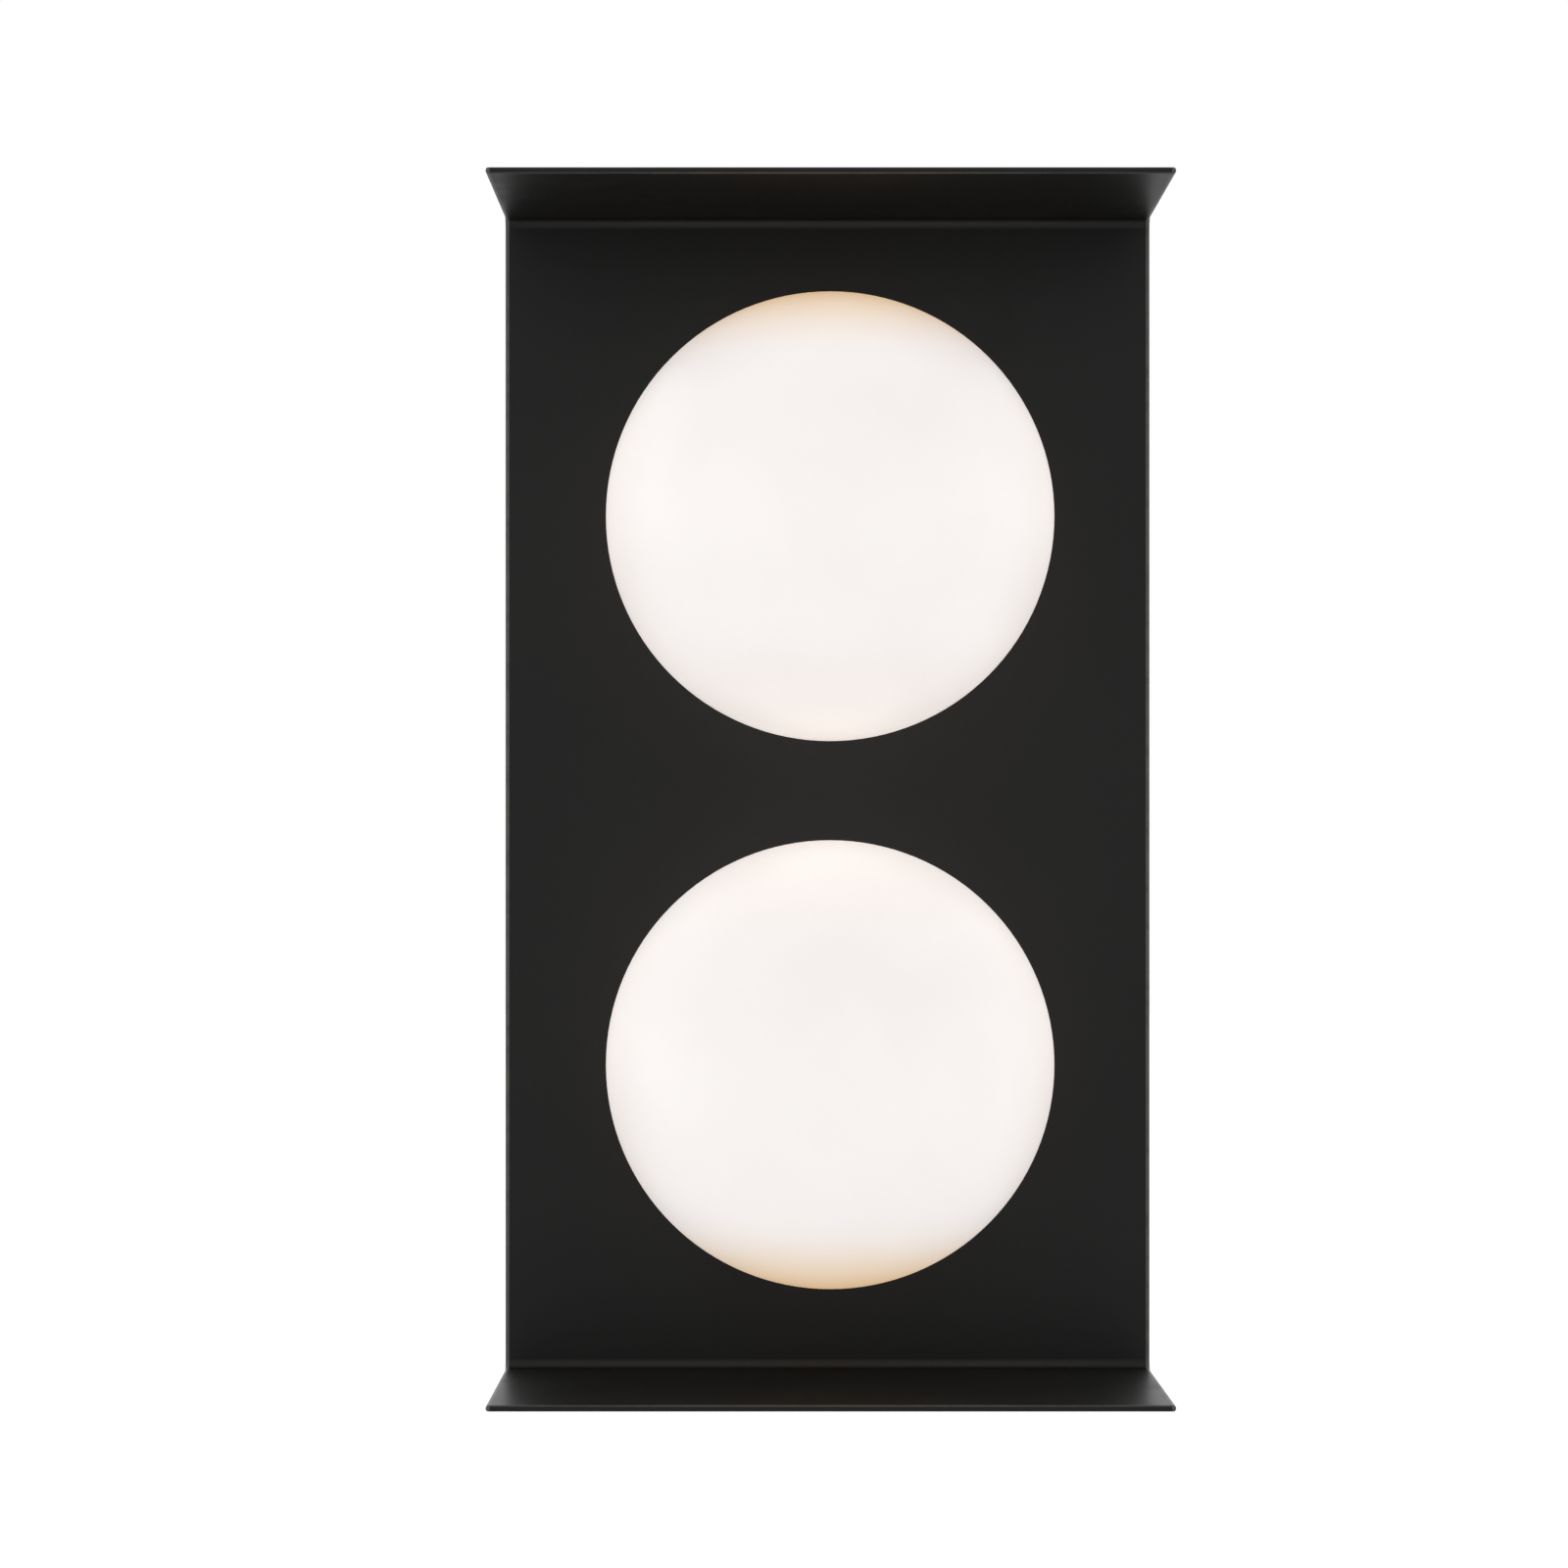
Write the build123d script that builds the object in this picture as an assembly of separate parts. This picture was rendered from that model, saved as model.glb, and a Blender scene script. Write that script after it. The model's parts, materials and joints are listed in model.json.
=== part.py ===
from build123d import *
import os
from math import cos, pi, radians, sin, sqrt, tan

# Two-globe wall light: a folded steel channel with two opal glass globes.
#
# The row frame: origin on the wall, at the centre of the wall plate's screw slots.
# +Z is up, +X is to the right as the light is seen from the room, and the room is
# towards -Y. Depths are given as "out", the distance from the wall, so y = -out.
# All sizes are millimetres.

# ---- driving dimensions -------------------------------------------------------
FRAME_WIDTH = 212.0
FRAME_HEIGHT = 382.0
FLANGE_DEPTH = 100.0  # in front of the back panel's face
SHEET = 2.0  # steel of the channel and the wall plate
BEND_INSIDE = 3.0  # of the channel
EDGE_ROUND = 0.85

GLOBE_RADIUS = 70.0
GLOBE_SPACING = 171.0
GLOBE_STANDOFF = 74.0  # globe centre in front of the back panel's face
GLASS = 3.0
NECK_OUTER = 32.0
NECK_RIM = 1.2
NECK_ROOT = 2.5

PAN_WIDTH = 120.0
PAN_HEIGHT = 236.0
PAN_DEPTH = 24.0
PAN_SHEET = 1.2
PAN_CORNER = 8.0
PAN_EDGE = 2.0

RUN = 0.05  # radial clearance of a screw or stud in its thread
CUT = 1.0  # how far a cutting tool runs past the stock
M3_RADIUS = 1.5
M4_RADIUS = 2.0
M4_FLATS = 7.0
STUD_POINT = 0.4  # chamfer at a stud's free end

# ---- planes, as distances out from the wall -----------------------------------
PANEL_BACK = PAN_DEPTH
PANEL_FRONT = PANEL_BACK + SHEET
FLANGE_TIP = PANEL_FRONT + FLANGE_DEPTH
GLOBE_CENTRE = PANEL_FRONT + GLOBE_STANDOFF
PAN_FLOOR = PAN_DEPTH - PAN_SHEET

NECK_INNER = NECK_OUTER - GLASS
GALLERY_BASE = 2.0
SEAL = 2.0
GALLERY_FACE = PANEL_FRONT + GALLERY_BASE
NECK_END = GALLERY_FACE + SEAL
SPIGOT_OUTER = 26.5
SPIGOT_WALL = 1.5
SPIGOT_END = GALLERY_FACE + 14.0

NIPPLE_OUTER = 5.0
NIPPLE_INNER = 3.6
NIPPLE_BACK = 17.5
NIPPLE_FRONT = 35.0
NIPPLE_HOLE = NIPPLE_OUTER + 0.1
NUT_M10 = 3.0
NUT_M10_FLATS = 14.0

HOLDER_BACK = 38.0
HOLDER_FRONT = 58.0
HOLDER_WIDTH = 20.0
HOLDER_HEIGHT = 14.0
HOLDER_SCREW_OUT = 47.0
STRAP = 1.2
PIN_OFFSET = 4.5
LEAD_OFFSET = 1.6
LEAD_RADIUS = 1.0
LEAD_END = HOLDER_BACK + 3.0  # where a lead ends in the lampholder
LEAD_TURN = 7.0  # how near the wall a lead comes as it turns out of the nipple

LAMP_BACK = HOLDER_FRONT + 0.2
LAMP_BASE_FRONT = 71.0
LAMP_TIP = 104.0
LAMP_RADIUS = 8.5
BOARD_FACE = 0.6  # half the light board's thickness
EMITTER = 2.4

PLATE_HALF_WIDTH = 58.2
PLATE_BASE_WIDTH = 104.0
PLATE_HEIGHT = 76.0
PLATE_CORNER = 6.0
PLATE_BEND_INSIDE = 1.5
PLATE_EARTH_X = 30.0
PLATE_EARTH_Z = 28.0
EAR_HEIGHT = 30.0
EAR_REACH = 20.0
SLOT_SPACING = 80.0
SLOT_LENGTH = 16.0
SLOT_RADIUS = 2.5
CABLE_HOLE = 10.0
GROMMET_BORE = 5.0

SCREW_OUT = 12.0
WASHER = 0.8
WASHER_RADIUS = 5.0
THUMB_HEAD_RADIUS = 4.6
THUMB_HEAD_LENGTH = 5.6

STUD_X = 48.0
STUD_Z = 100.0

BLOCK_Z = -38.0
BLOCK_WIDTH = 36.0
BLOCK_HEIGHT = 18.0
BLOCK_DEPTH = 14.0
POLE_PITCH = 11.0
POLE_OUT = 16.8
INSERT_X = 3.3  # half the width of a brass tube
INSERT_Y = 2.6  # half its depth
SCREW_DZ = 4.5
POLE_LEAD_OFFSET = 1.05
POLE_END_Z = BLOCK_Z - 4.0  # where a lead ends in the block

EARTH_X = 30.0
EARTH_Z = -74.0
EARTH_BARREL = 1.7  # the crimp's centre above the pan's floor
EARTH_EYE = 0.8  # thickness of the ring terminal
EARTH_WASHER = 0.6

LEVELS = {"upper": GLOBE_SPACING / 2, "lower": -GLOBE_SPACING / 2}


# ---- helpers ------------------------------------------------------------------
def block(x0, x1, near, far, z0, z1):
    """A box from its limits across, out from the wall, and up."""
    centre = Pos((x0 + x1) / 2, -(near + far) / 2, (z0 + z1) / 2)
    return centre * Box(x1 - x0, far - near, z1 - z0)


def rod(radius, near, far, x=0.0, z=0.0):
    """A cylinder pointing out of the wall."""
    return Pos(x, -(near + far) / 2, z) * Rot(90, 0, 0) * Cylinder(radius, far - near)


def ring(outer, inner, near, far, x=0.0, z=0.0):
    return rod(outer, near, far, x, z) - rod(inner, near, far, x, z)


def rod_x(radius, x0, x1, out, z):
    """A cylinder lying across the light."""
    return Pos((x0 + x1) / 2, -out, z) * Rot(0, 90, 0) * Cylinder(radius, abs(x1 - x0))


def hex_nut(across_flats, bore, near, far, x=0.0, z=0.0, to_wall=True):
    """A hexagon nut on an axis out of the wall, with its free end's corners turned off."""
    thick = far - near
    turned_radius = 0.49 * across_flats
    prism = extrude(RegularPolygon(across_flats / 2 / cos(pi / 6), 6), thick)
    cone = Pos(0, 0, thick / 2) * Cone(turned_radius + 2 * thick, turned_radius, thick)
    base, turn = (far, -90) if to_wall else (near, 90)
    nut = Pos(x, -base, z) * Rot(turn, 0, 0) * (prism & cone)
    return nut - rod(bore, near, far, x, z)


def widest(edges):
    """The circles of the largest radius."""
    return edges.filter_by(GeomType.CIRCLE).group_by(SortBy.RADIUS)[-1]


def strip(points, thickness, bend, width):
    """A folded strip with round ends, from its centre line in XY, as wide as asked along Z."""
    line = FilletPolyline(*points, radius=bend)
    outline = Wire(line.edges()).offset_2d(thickness / 2, kind=Kind.INTERSECTION, side=Side.BOTH)
    return extrude(make_face(outline), width / 2, both=True)


def lead(name, points):
    """An insulated wire: straight runs joined by arcs as large as the runs leave room for."""
    route = [Vector(x, -out, z) for x, out, z in points]
    runs = [end - start for start, end in zip(route, route[1:])]
    radii = []
    for before, after in zip(runs, runs[1:]):
        half_turn = radians(before.get_angle(after)) / 2
        radii.append(0.45 * min(before.length, after.length) / tan(half_turn))
    path = Wire(FilletPolyline(*route, radius=radii).edges())
    wire = sweep(Plane(origin=path @ 0, z_dir=path % 0) * Circle(LEAD_RADIUS), path=path)
    expected = pi * LEAD_RADIUS**2 * path.length
    if abs(wire.volume / expected - 1) > 0.01:
        raise ValueError(f"{name}: volume {wire.volume:.1f} is not {expected:.1f}")
    print(f"{name}: {path.length:.0f} mm long, radii {[round(r, 1) for r in radii]}")
    return wire


def save(name, *shapes):
    """Writes one node as its separate solids."""
    solids = [s for shape in shapes for s in shape.solids()]
    export_step(Compound(label=name, children=solids), f"parts/{name}.step")


# ---- housing ------------------------------------------------------------------
def channel_frame():
    """The folded channel: back panel with a flange at the top and at the bottom."""
    reach = FRAME_HEIGHT / 2 - SHEET / 2
    middle = PANEL_BACK + SHEET / 2
    tip = FLANGE_TIP - SHEET / 2
    outline = [(-tip, reach), (-middle, reach), (-middle, -reach), (-tip, -reach)]
    line = FilletPolyline(*outline, radius=BEND_INSIDE + SHEET / 2)
    wire = Wire(line.edges()).offset_2d(SHEET / 2, kind=Kind.INTERSECTION, side=Side.BOTH)
    body = extrude(Plane.YZ * make_face(wire), FRAME_WIDTH / 2, both=True)
    ends = body.faces().group_by(Axis.X)
    body = fillet(ShapeList(edge for face in (*ends[0], *ends[-1]) for edge in face.edges()), EDGE_ROUND)
    for level in LEVELS.values():
        body -= rod(NIPPLE_HOLE, PANEL_BACK - CUT, PANEL_FRONT + CUT, z=level)
    return body


def wiring_pan():
    """The pan behind the back panel, open to the wall, with notches for the thumb screws."""
    outer = extrude(RectangleRounded(PAN_WIDTH, PAN_HEIGHT, PAN_CORNER), PAN_DEPTH)
    inner = extrude(
        RectangleRounded(PAN_WIDTH - 2 * PAN_SHEET, PAN_HEIGHT - 2 * PAN_SHEET, PAN_CORNER - PAN_SHEET),
        PAN_FLOOR,
    )
    face = outer.faces().sort_by(Axis.Z)[-1]
    outer = fillet(face.edges(), PAN_EDGE)
    pan = Rot(90, 0, 0) * (outer - inner)
    notch = M4_RADIUS + 0.25
    for side in (-1, 1):
        wall = side * (PAN_WIDTH / 2 - PAN_SHEET / 2)
        pan -= rod_x(notch, wall - CUT, wall + CUT, SCREW_OUT, 0)
        pan -= block(wall - CUT, wall + CUT, -CUT, SCREW_OUT, -notch, notch)
    for level in LEVELS.values():
        pan -= rod(NIPPLE_HOLE, PAN_FLOOR - CUT, PAN_DEPTH + CUT, z=level)
    for x, z in stud_places():
        pan -= rod(M4_RADIUS + 0.3, PAN_FLOOR - CUT, PAN_DEPTH + CUT, x, z)
    pan -= rod(M4_RADIUS + RUN, PAN_FLOOR - CUT, PAN_DEPTH + CUT, EARTH_X, EARTH_Z)
    pan -= rod(M3_RADIUS + RUN, PAN_FLOOR - CUT, PAN_DEPTH + CUT, POLE_PITCH / 2, BLOCK_Z)
    return pan


def stud_places():
    return [(x, z) for x in (-STUD_X, STUD_X) for z in (-STUD_Z, STUD_Z)]


def weld_studs():
    """Studs welded to the back of the panel, which the pan is nutted to."""
    length = 8.0
    made = []
    for x, z in stud_places():
        stud = rod(M4_RADIUS, PAN_DEPTH - length, PAN_DEPTH, x, z)
        made.append(chamfer(stud.faces().sort_by(Axis.Y)[-1].edges(), STUD_POINT))
    return made


def pan_nuts():
    """Flange nuts on the weld studs."""
    flange_radius = 4.8
    flange_thick = 0.9
    hexagon = 3.3
    seat = PAN_FLOOR - flange_thick
    bore = M4_RADIUS + RUN
    made = []
    for x, z in stud_places():
        flange = ring(flange_radius, bore, seat, PAN_FLOOR, x, z)
        made.append(flange + hex_nut(M4_FLATS, bore, seat - hexagon, seat, x, z))
    return made


# ---- wall plate and its screws --------------------------------------------------
def wall_plate():
    """The bracket that stays on the wall: two ears with threaded holes hold the light."""
    ear = PLATE_HALF_WIDTH - SHEET / 2
    middle = SHEET / 2
    tip = EAR_REACH - SHEET / 2
    outline = [(-ear, -tip), (-ear, -middle), (ear, -middle), (ear, -tip)]
    band = strip(outline, SHEET, PLATE_BEND_INSIDE + SHEET / 2, EAR_HEIGHT)
    sheet = extrude(RectangleRounded(PLATE_BASE_WIDTH, PLATE_HEIGHT, PLATE_CORNER), SHEET)
    plate = band + Rot(90, 0, 0) * sheet
    for side in (-1, 1):
        slot = extrude(SlotOverall(SLOT_LENGTH, 2 * SLOT_RADIUS), SHEET + 2 * CUT)
        plate -= Pos(side * SLOT_SPACING / 2, CUT, 0) * Rot(90, 0, 0) * slot
        plate -= rod_x(M4_RADIUS + RUN, side * (ear - SHEET), side * (ear + SHEET), SCREW_OUT, 0)
    plate -= rod(CABLE_HOLE, -CUT, SHEET + CUT)
    plate -= rod(M4_RADIUS + RUN, -CUT, SHEET + CUT, PLATE_EARTH_X, PLATE_EARTH_Z)
    return plate


def cable_grommet():
    """Rubber bush round the mains cable, snapped into the wall plate."""
    lip = SHEET + 1.6
    nose_end = SHEET + 4.0
    flange = ring(CABLE_HOLE + 2.2, GROMMET_BORE, SHEET, lip)
    flange = fillet(widest(flange.edges()), 0.5)
    waist = ring(CABLE_HOLE - RUN, GROMMET_BORE, 0.0, SHEET)
    nose = ring(CABLE_HOLE - 1.2, GROMMET_BORE, lip, nose_end)
    nose = fillet(nose.edges().group_by(Axis.Y)[0], 0.8)
    return flange + waist + nose


def plate_earth_screw():
    """Earthing screw on the wall plate, with its washer."""
    x, z = PLATE_EARTH_X, PLATE_EARTH_Z
    seat = SHEET + WASHER
    head_radius = 3.8
    head_top = seat + 2.4
    slot_depth = 1.1
    head = rod(head_radius, seat, head_top, x, z)
    head = fillet(head.faces().sort_by(Axis.Y)[0].edges(), head_radius / 3)
    slot = (x - head_radius, x + head_radius, head_top - slot_depth, head_top + CUT)
    head -= block(*slot, z - 0.5, z + 0.5)
    shank = rod(M4_RADIUS, 0.1, seat, x, z)
    washer = ring(4.4, M4_RADIUS + RUN, SHEET, seat, x, z)
    return [head + shank, washer]


def thumb_screw(side):
    """Knurled screw through the pan's notch into the wall plate's ear."""
    wall = PAN_WIDTH / 2 + WASHER
    flutes = 26
    flute_depth = 0.35
    bevel = 0.6
    points = []
    for i in range(2 * flutes):
        r = THUMB_HEAD_RADIUS - (0.0 if i % 2 else flute_depth)
        points.append((r * cos(pi * i / flutes), r * sin(pi * i / flutes)))
    knurl = extrude(make_face(Polyline(*points, close=True)), THUMB_HEAD_LENGTH)
    height = THUMB_HEAD_LENGTH + bevel
    cone = Cone(THUMB_HEAD_RADIUS + THUMB_HEAD_LENGTH, THUMB_HEAD_RADIUS - bevel, height)
    knurl &= Pos(0, 0, THUMB_HEAD_LENGTH - height / 2) * cone
    slot = Pos(0, 0, THUMB_HEAD_LENGTH) * Box(12, 1.2, 2.6)
    head = Pos(side * wall, -SCREW_OUT, 0) * Rot(0, side * 90, 0) * (knurl - slot)
    tip = PLATE_HALF_WIDTH - 6.5
    shank = rod_x(M4_RADIUS, side * tip, side * wall, SCREW_OUT, 0)
    end = shank.faces().sort_by(Axis.X)[0 if side > 0 else -1]
    return head + chamfer(end.edges(), 0.5)


def thumb_washer(side):
    """Plain washer between the thumb screw's head and the pan."""
    ends = side * PAN_WIDTH / 2, side * (PAN_WIDTH / 2 + WASHER)
    disc = rod_x(WASHER_RADIUS, *ends, SCREW_OUT, 0)
    disc = chamfer(disc.edges().filter_by(GeomType.CIRCLE), 0.15)
    return disc - rod_x(M4_RADIUS + RUN, *ends, SCREW_OUT, 0)


# ---- mains connection -----------------------------------------------------------
def pole_places():
    return [-POLE_PITCH, 0.0, POLE_PITCH]


def terminal_block():
    """Three-pole block on the pan's floor, with its screws facing the wall."""
    top = PAN_FLOOR - BLOCK_DEPTH
    z0, z1 = BLOCK_Z - BLOCK_HEIGHT / 2, BLOCK_Z + BLOCK_HEIGHT / 2
    body = block(-BLOCK_WIDTH / 2, BLOCK_WIDTH / 2, top, PAN_FLOOR, z0, z1)
    body = fillet(body.edges().filter_by(Axis.Y), 1.0)
    body = chamfer(body.faces().sort_by(Axis.Y)[-1].edges(), 0.4)
    bay_x = INSERT_X + 0.1
    bay_y = INSERT_Y + 0.1
    groove = 3.0
    for x in pole_places():
        body -= block(x - bay_x, x + bay_x, POLE_OUT - bay_y, POLE_OUT + bay_y, z0 - CUT, z1 + CUT)
        for z in (BLOCK_Z - SCREW_DZ, BLOCK_Z + SCREW_DZ):
            body -= rod(2.4, top - CUT, POLE_OUT, x, z)
    for x in (-POLE_PITCH / 2, POLE_PITCH / 2):
        body -= block(x - 0.6, x + 0.6, top - CUT, top + groove, z0 - CUT, z1 + CUT)
    hole = rod(M3_RADIUS + 0.2, top - CUT, PAN_FLOOR + CUT, POLE_PITCH / 2, BLOCK_Z)
    sink = rod(3.0, top - CUT, top + groove, POLE_PITCH / 2, BLOCK_Z)
    return body - hole - sink


def terminal_inserts():
    """Brass tubes that the wires are clamped in."""
    made = []
    for x in pole_places():
        z0, z1 = BLOCK_Z - 7.5, BLOCK_Z + 7.5
        insert = block(x - INSERT_X, x + INSERT_X, POLE_OUT - INSERT_Y, POLE_OUT + INSERT_Y, z0, z1)
        insert -= block(x - 2.2, x + 2.2, POLE_OUT - 1.2, POLE_OUT + 1.2, z0 - CUT, z1 + CUT)
        for z in (BLOCK_Z - SCREW_DZ, BLOCK_Z + SCREW_DZ):
            insert -= rod(M3_RADIUS + RUN, POLE_OUT - 4, POLE_OUT, x, z)
        made.append(insert)
    return made


def slotted_screw(head_radius, shank_radius, head, tip, x, z):
    """A small screw facing the wall, with a slot across its head."""
    under_head = head + 2.0
    top = rod(head_radius, head, under_head, x, z)
    top = chamfer(top.faces().sort_by(Axis.Y)[-1].edges(), 0.3)
    top -= block(x - head_radius, x + head_radius, head - CUT, head + 0.9, z - 0.4, z + 0.4)
    return top + rod(shank_radius, under_head, tip, x, z)


def terminal_screws():
    head = PAN_FLOOR - BLOCK_DEPTH + 1.2
    places = [(x, BLOCK_Z + dz) for x in pole_places() for dz in (-SCREW_DZ, SCREW_DZ)]
    return [slotted_screw(2.1, M3_RADIUS, head, POLE_OUT - 1.1, x, z) for x, z in places]


def block_screw():
    """Screw that fixes the terminal block to the pan."""
    head = PAN_FLOOR - BLOCK_DEPTH + 1.0
    tip = PAN_DEPTH - 0.1
    return slotted_screw(2.8, M3_RADIUS, head, tip, POLE_PITCH / 2, BLOCK_Z)


def earth_stud():
    stud = rod(M4_RADIUS, PAN_DEPTH - 10, PAN_DEPTH, EARTH_X, EARTH_Z)
    return chamfer(stud.faces().sort_by(Axis.Y)[-1].edges(), STUD_POINT)


def earth_nut():
    seat = PAN_FLOOR - EARTH_EYE - EARTH_WASHER
    return hex_nut(M4_FLATS, M4_RADIUS + RUN, seat - 3.2, seat, EARTH_X, EARTH_Z)


def earth_ring_terminal():
    """Crimped ring under the earth nut, with a washer."""
    out = PAN_FLOOR - EARTH_BARREL
    top = PAN_FLOOR - EARTH_EYE
    eye = ring(4.2, M4_RADIUS + 0.1, top, PAN_FLOOR, EARTH_X, EARTH_Z)
    barrel = rod_x(EARTH_BARREL - 0.1, EARTH_X - 10.5, EARTH_X - 4.6, out, EARTH_Z)
    tongue = block(EARTH_X - 6, EARTH_X - 3, top, PAN_FLOOR, EARTH_Z - 1.4, EARTH_Z + 1.4)
    barrel -= rod_x(LEAD_RADIUS + RUN, EARTH_X - 11, EARTH_X - 6.5, out, EARTH_Z)
    washer = ring(3.9, M4_RADIUS + 0.1, top - EARTH_WASHER, top, EARTH_X, EARTH_Z)
    return [eye + tongue + barrel, washer]


def pole_leads(side):
    """The two insulated leads of one pole: live is side -1, neutral is side +1."""
    pole = side * POLE_PITCH
    near_pole = pole - side * POLE_LEAD_OFFSET
    far_pole = pole + side * POLE_LEAD_OFFSET
    short = [
        (side * LEAD_OFFSET, LEAD_END, LEVELS["lower"]),
        (side * LEAD_OFFSET, LEAD_TURN, LEVELS["lower"]),
        (side * 9.0, 8.5, BLOCK_Z - 36.0),
        (near_pole, 13.8, BLOCK_Z - 25.0),
        (near_pole, POLE_OUT, BLOCK_Z - 15.0),
        (near_pole, POLE_OUT, POLE_END_Z),
    ]
    long = [
        (side * LEAD_OFFSET, LEAD_END, LEVELS["upper"]),
        (side * LEAD_OFFSET, LEAD_TURN, LEVELS["upper"]),
        (side * 18.0, 8.5, 82.0),
        (side * 36.0, 11.0, 69.0),
        (side * 43.0, 12.5, 43.0),
        (side * 44.5, 13.5, 9.0),
        (side * 44.0, 14.5, -27.0),
        (side * 40.0, 15.5, -51.0),
        (side * 28.5, 16.5, -66.5),
        (side * 15.5, 17.0, -67.5),
        (far_pole, POLE_OUT, BLOCK_Z - 17.0),
        (far_pole, POLE_OUT, POLE_END_Z),
    ]
    kind = "live" if side < 0 else "neutral"
    return [lead(f"{kind} lead, lower", short), lead(f"{kind} lead, upper", long)]


def earth_lead():
    barrel_out = PAN_FLOOR - EARTH_BARREL
    route = [
        (0, POLE_OUT, POLE_END_Z),
        (0, POLE_OUT, BLOCK_Z - 15.5),
        (3.5, 19.6, BLOCK_Z - 27.0),
        (11.5, barrel_out, EARTH_Z),
        (EARTH_X - 7.0, barrel_out, EARTH_Z),
    ]
    return lead("earth lead", route)


# ---- lampholder, one set for each globe -------------------------------------------
def gallery(level):
    """The turned cup that the globe pushes onto."""
    disc = ring(34.0, NIPPLE_HOLE, PANEL_FRONT, GALLERY_FACE)
    disc = chamfer(widest(disc.edges().group_by(Axis.Y)[0]), 0.5)
    wall = ring(SPIGOT_OUTER, SPIGOT_OUTER - SPIGOT_WALL, GALLERY_FACE, SPIGOT_END)
    wall = fillet(wall.edges().group_by(Axis.Y)[0], 0.4)
    return Pos(0, 0, level) * (disc + wall)


def gallery_springs(level):
    """Three bowed clips hooked over the spigot, which grip the inside of the glass neck."""
    thick, width = 0.4, 9.0
    edge = width / 2
    inside = sqrt((SPIGOT_OUTER - SPIGOT_WALL) ** 2 - edge**2) - thick / 2 - 0.05
    crest = sqrt((NECK_INNER - 0.05) ** 2 - edge**2) - thick / 2
    foot = SPIGOT_OUTER + thick / 2 + 0.03
    rim = SPIGOT_END + thick / 2 + 0.02
    centre_line = [
        (inside, -(SPIGOT_END - 5)),
        (inside, -rim),
        (foot, -rim),
        (foot + 0.1, -(SPIGOT_END - 2)),
        (crest, -(SPIGOT_END - 6)),
        (crest, -(SPIGOT_END - 8)),
        (foot + 0.05, -(GALLERY_FACE + 0.6)),
    ]
    radii = [0.5, 0.5, 0.6, 0.8, 0.8]
    line = FilletPolyline(*centre_line, radius=radii)
    outline = Wire(line.edges()).offset_2d(thick / 2, kind=Kind.INTERSECTION, side=Side.BOTH)
    clip = extrude(make_face(outline), edge, both=True)
    return [Pos(0, 0, level) * Rot(0, 90 + 120 * i, 0) * clip for i in range(3)]


def seal_ring(level):
    """Silicone ring between the glass neck and the gallery."""
    body = ring(NECK_OUTER + 1.2, NECK_INNER - 1.2, GALLERY_FACE, NECK_END)
    return Pos(0, 0, level) * body


def globe(level):
    """Blown opal glass globe with a straight neck, one shell of revolution."""
    inside = GLOBE_RADIUS - GLASS
    front, back = -GLOBE_CENTRE - GLOBE_RADIUS, -NECK_END
    outer_neck = -GLOBE_CENTRE + sqrt(GLOBE_RADIUS**2 - NECK_OUTER**2)
    inner_neck = -GLOBE_CENTRE + sqrt(inside**2 - NECK_INNER**2)
    outline = [
        Line((NECK_INNER, back), (NECK_OUTER, back)),
        Line((NECK_OUTER, back), (NECK_OUTER, outer_neck)),
        ThreePointArc((NECK_OUTER, outer_neck), (GLOBE_RADIUS, -GLOBE_CENTRE), (0, front)),
        Line((0, front), (0, front + GLASS)),
        ThreePointArc((0, front + GLASS), (inside, -GLOBE_CENTRE), (NECK_INNER, inner_neck)),
        Line((NECK_INNER, inner_neck), (NECK_INNER, back)),
    ]
    face = make_face([edge for part in outline for edge in part.edges()])
    for y, radius in ((back, NECK_RIM), (outer_neck, NECK_ROOT), (inner_neck, NECK_ROOT)):
        corners = [v for v in face.vertices() if abs(v.Y - y) < 0.01 and v.X > 1]
        face = fillet(corners, radius)
    return Pos(0, 0, level) * revolve(face, Axis.Y)


def nipple(level):
    """Hollow threaded tube that clamps gallery, panel and pan, and carries the leads."""
    tube = ring(NIPPLE_OUTER, NIPPLE_INNER, NIPPLE_BACK, NIPPLE_FRONT)
    return Pos(0, 0, level) * chamfer(widest(tube.edges()), 0.5)


def nipple_nuts(level):
    bore = NIPPLE_OUTER + RUN
    back = hex_nut(NUT_M10_FLATS, bore, PAN_FLOOR - NUT_M10, PAN_FLOOR, 0, level)
    base = GALLERY_FACE + STRAP
    return [back, hex_nut(NUT_M10_FLATS, bore, base, base + NUT_M10, 0, level, to_wall=False)]


def nipple_bush(level):
    """Plastic bush on the nipple's back end, which keeps the leads off the metal edge."""
    collar = ring(NIPPLE_OUTER + 1.0, NIPPLE_INNER - 0.6, NIPPLE_BACK - 1.2, NIPPLE_BACK)
    sleeve = ring(NIPPLE_INNER, NIPPLE_INNER - 0.6, NIPPLE_BACK, NIPPLE_BACK + 5)
    return Pos(0, 0, level) * (collar + sleeve)


def holder_bracket(level):
    """U-shaped steel strap from the nipple to the lampholder's sides."""
    thick = STRAP
    leg = HOLDER_WIDTH / 2 + thick / 2
    base = GALLERY_FACE + thick / 2
    tip = 52.0
    strap = strip([(-leg, -tip), (-leg, -base), (leg, -base), (leg, -tip)], thick, 2.0, HOLDER_HEIGHT)
    strap -= rod(NIPPLE_HOLE, GALLERY_FACE - CUT, GALLERY_FACE + thick + CUT)
    for side in (-1, 1):
        strap -= rod_x(1.6, side * (leg - 2), side * (leg + 2), HOLDER_SCREW_OUT, 0)
    return Pos(0, 0, level) * strap


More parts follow.
